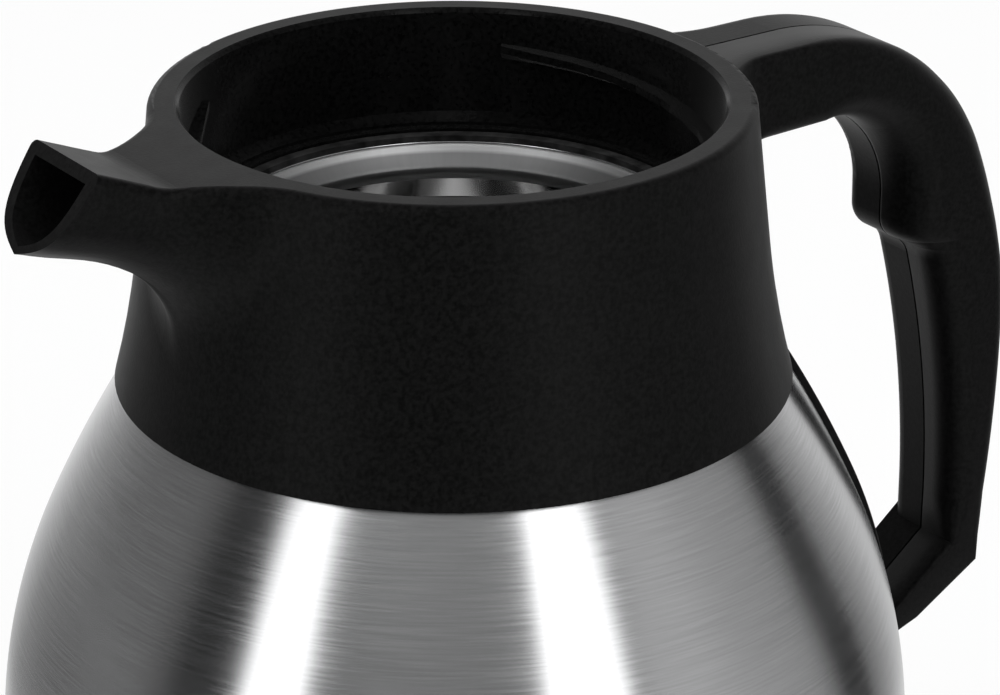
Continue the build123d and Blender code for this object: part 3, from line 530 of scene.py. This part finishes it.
station = np.arange(len(near_stations))
share = np.linspace(0, station[-1], rows_between * station[-1] + 1)
outer_edge = along_outline(near_outer, near_stations[:, 0:2], share)
inner_edge = along_outline(near_inner, near_stations[:, 2:4], share)
half, outer_round, inner_round = [
    np.interp(share, station, column) for column in near_stations[:, 4:].T
]
span = outer_edge - inner_edge
thickness = np.hypot(*span.T)
across_way = (span / thickness[:, None])[:, None]
flared = np.clip((handle_flare_start - inner_edge[:, 0]) / handle_flare, 0, 1)
half = half + handle_flare * (1 - np.sqrt(1 - flared**2))
place, aside = half_section(thickness, half, outer_round, inner_round)
ahead = inner_edge[:, None, 0] + place * across_way[..., 0]
up = inner_edge[:, None, 1] + place * across_way[..., 1]
# The root follows the collar's drafted flank: each point there moves out to the flank's radius.
flank = collar_clearance + collar_draft * (rim_height - up)
to_flank = np.clip((handle_flare_start - ahead) / (handle_flare_start - arm_root), 0, 1)
ahead = ahead + to_flank * (np.sqrt(flank**2 - aside**2) - arm_root)
near_points = np.stack([ahead, -aside, up], -1) * mm
rows, columns = ahead.shape
number = np.arange(rows * columns).reshape(rows, columns)
wrapped = np.roll(number, -1, 1)
near_faces = np.stack([number[:-1], wrapped[:-1], wrapped[1:], number[1:]], -1).reshape(-1, 4)
near_half = grid_piece(
    "near_half", near_points.reshape(-1, 3), near_faces, caps=(number[0][::-1], number[-1])
)
dress(near_half, black_plastic)
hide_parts("handle_near")

# ---- Far half of the handle ----------------------------------------------------------------
# The far half is a hollow shell of the same plastic, closed against the near half. Its side has
# sunk seats for the heads of the four screws.

refinish("handle_far", black_plastic)

# ---- Handle screws -------------------------------------------------------------------------
# Four equal self-cutting steel screws, driven from the far side, clamp the two halves on the
# collar's tongue and the bracket's tab.

refinish("handle_screws", satin_steel)

# ---- Floor ---------------------------------------------------------------------------------
# A pale matt floor under the carafe. Most of it shines plain white to the camera and in the
# steel, and the rest is lit by the lamps, so that it keeps the carafe's shadow.

floor_reach = 4.0
floor_grey = (0.82, 0.82, 0.82)
floor_roughness = 0.9
floor_white = 0.75


def seen_directly(tree):
    """1 for rays from the camera and through clear things, 0 for the rest; and the ray's path."""
    path = tree.nodes.new("ShaderNodeLightPath")
    sight, clear = path.outputs["Is Camera Ray"], path.outputs["Is Transmission Ray"]
    return path, maths(tree, "MAXIMUM", sight, clear)


def mixed_light(tree, share, first, second):
    """Two shaders mixed by a share: all of the first at 0, all of the second at 1."""
    mix = tree.nodes.new("ShaderNodeMixShader")
    tree.links.new(share, mix.inputs["Fac"])
    tree.links.new(first, mix.inputs[1])
    tree.links.new(second, mix.inputs[2])
    return mix.outputs["Shader"]


corners = floor_reach * np.array([(-1, -1, 0), (1, -1, 0), (1, 1, 0), (-1, 1, 0)])
floor_mesh = bpy.data.meshes.new("floor")
floor_mesh.from_pydata(corners.tolist(), [], [(0, 1, 2, 3)])
floor = bpy.data.objects.new("floor", floor_mesh)
bpy.context.scene.collection.objects.link(floor)

floor_paint, tree, shader = new_finish("floor_paint", floor_grey, floor_roughness)
shader.inputs["Specular IOR Level"].default_value = 0.0
path, direct = seen_directly(tree)
shown = maths(tree, "MAXIMUM", direct, path.outputs["Is Glossy Ray"])
white = tree.nodes.new("ShaderNodeEmission")
surface = mixed_light(
    tree, maths(tree, "MULTIPLY", shown, floor_white),
    shader.outputs["BSDF"], white.outputs["Emission"],
)
tree.links.new(surface, tree.nodes["Material Output"].inputs["Surface"])
floor_mesh.materials.append(floor_paint)

# ---- Camera --------------------------------------------------------------------------------
# A long lens above the carafe's shoulder, that looks down into the mouth with the spout to the
# left and the handle to the right.

camera_lens = bpy.data.cameras.new("camera")
camera_lens.lens = 144.0
camera_lens.sensor_width = 36.0
camera_lens.clip_start = 0.01
camera = bpy.data.objects.new("camera", camera_lens)
camera.location = (-0.314212, -0.457181, 0.395183)
camera.rotation_euler = (radians(66.557392), radians(-0.034778), radians(-35.204252))
bpy.context.scene.collection.objects.link(camera)
bpy.context.scene.camera = camera

# ---- Room ----------------------------------------------------------------------------------
# What the steel mirrors: a white wall behind the carafe, two tall soft boxes in front of it and
# a dim room between them, at fixed bearings about the vessel.

# Bearings in degrees, counted from the middle bearing and positive to the right, with the room's
# level there low down and high up.
middle_bearing = -124.5
room_levels = (
    (-180, 1.00, 1.00), (-158, 0.95, 0.80), (-146, 0.58, 0.45), (-134, 0.31, 0.24),
    (-122, 0.21, 0.15), (-112, 0.17, 0.12), (-88, 0.17, 0.13), (-80, 0.10, 0.09),
    (-75, 0.02, 0.04), (-58, 0.02, 0.04), (-56, 2.4, 2.4), (-41, 2.4, 2.4), (-39, 0.13, 0.30),
    (-30, 0.12, 0.32), (-22, 0.20, 0.36), (16, 0.19, 0.32), (23, 0.18, 0.30), (25, 2.4, 2.4),
    (45, 2.4, 2.4), (47, 0.14, 0.20), (54, 0.58, 0.48), (66, 0.58, 0.48), (80, 0.44, 0.40),
    (100, 0.35, 0.32), (105, 0.20, 0.18), (108, 0.02, 0.02), (117, 0.02, 0.02),
    (120, 0.18, 0.12), (128, 0.36, 0.26), (140, 0.66, 0.60), (179, 1.00, 1.00),
)
low_and_high = (0.2, 0.65)
card_radii = (0.24, 3.0)
card_height = 0.002
card_steps = 96
fill_level = 0.7


def room_colour(tree, vector):
    """Level of the room for a direction, read off the list by its bearing and its height."""
    centred = tree.nodes.new("ShaderNodeMapping")
    centred.vector_type = "POINT"
    centred.inputs["Rotation"].default_value[2] = -radians(middle_bearing)
    tree.links.new(vector, centred.inputs["Vector"])
    apart = tree.nodes.new("ShaderNodeSeparateXYZ")
    tree.links.new(centred.outputs["Vector"], apart.inputs["Vector"])
    bearing = maths(tree, "ARCTAN2", apart.outputs["Y"], apart.outputs["X"])
    turn = ranged(tree, bearing, 0.0, 1.0, -np.pi, np.pi)
    room = tree.nodes.new("ShaderNodeMix")
    room.data_type = "RGBA"
    height = ranged(tree, apart.outputs["Z"], 0.0, 1.0, *low_and_high)
    tree.links.new(height, room.inputs["Factor"])
    for place, side in enumerate(("A", "B")):
        levels = tree.nodes.new("ShaderNodeValToRGB")
        tree.links.new(turn, levels.inputs["Fac"])
        stops = levels.color_ramp.elements
        while len(stops) < len(room_levels):
            stops.new(1.0)
        for stop, (angle, *level) in zip(stops, room_levels):
            stop.position = (angle + 180) / 360
            stop.color = (level[place], level[place], level[place], 1)
        tree.links.new(levels.outputs["Color"], room.inputs[side])
    return room.outputs["Result"]


# A ring of card round the carafe that only the steel sees: it carries the room on below the
# table's level. Its point at turn t is (r cos t, r sin t) at the inner and the outer radius.
card_turn = np.linspace(0, 2 * np.pi, card_steps, endpoint=False)
card_circle = np.stack([np.cos(card_turn), np.sin(card_turn)], 1)
card_flat = np.concatenate([radius * card_circle for radius in card_radii])
card_points = np.column_stack([card_flat, np.full(len(card_flat), card_height)])
step = np.arange(card_steps)
following = np.roll(step, -1)
card_faces = np.stack([step, step + card_steps, following + card_steps, following], 1)
card = grid_piece("studio_card", card_points, card_faces)
card_finish = bpy.data.materials.new("studio_card")
card_finish.use_nodes = True
tree = card_finish.node_tree
place = tree.nodes.new("ShaderNodeTexCoord")
glow = tree.nodes.new("ShaderNodeEmission")
tree.links.new(room_colour(tree, place.outputs["Object"]), glow.inputs["Color"])
tree.links.new(glow.outputs["Emission"], tree.nodes["Material Output"].inputs["Surface"])
card.data.materials.append(card_finish)
card.visible_camera = False
card.visible_diffuse = False
card.visible_transmission = False
card.visible_shadow = False

# The world: white to the camera, the room's list in the steel, and an even fill on the rest.
world = bpy.data.worlds.new("studio")
world.use_nodes = True
bpy.context.scene.world = world
tree = world.node_tree
path, direct = seen_directly(tree)
heading = tree.nodes.new("ShaderNodeTexCoord")
surround = tree.nodes.new("ShaderNodeBackground")
tree.links.new(room_colour(tree, heading.outputs["Generated"]), surround.inputs["Color"])
fill = tree.nodes.new("ShaderNodeBackground")
fill.inputs["Color"].default_value = (fill_level, fill_level, fill_level, 1)
plain = tree.nodes.new("ShaderNodeBackground")
plain.inputs["Color"].default_value = (1, 1, 1, 1)
lit = mixed_light(
    tree, path.outputs["Is Glossy Ray"], fill.outputs["Background"], surround.outputs["Background"]
)
seen = mixed_light(tree, direct, lit, plain.outputs["Background"])
tree.links.new(seen, tree.nodes["World Output"].inputs["Surface"])

# ---- Lamps ---------------------------------------------------------------------------------
# Three area lamps turned to the carafe: one to each side of the camera and one overhead. The
# steel sees the room's list instead of them.

lamp_aim = Vector((0, 0, 0.12))
for name, place, width, height, power in (
    ("left_box", (-1.48, -0.23, 0.75), 0.6, 1.3, 8.0),
    ("right_box", (-0.04, -1.5, 0.75), 0.7, 1.3, 8.0),
    ("top_box", (0.2, 0.3, 1.6), 1.2, 1.2, 10.0),
):
    lamp = bpy.data.lights.new(name, "AREA")
    lamp.shape = "RECTANGLE"
    lamp.size = width
    lamp.size_y = height
    lamp.energy = power
    rig = bpy.data.objects.new(name, lamp)
    rig.location = place
    rig.rotation_euler = (lamp_aim - Vector(place)).to_track_quat("-Z", "Y").to_euler()
    rig.visible_glossy = False
    bpy.context.scene.collection.objects.link(rig)
bpy.context.scene.view_settings.view_transform = "Standard"
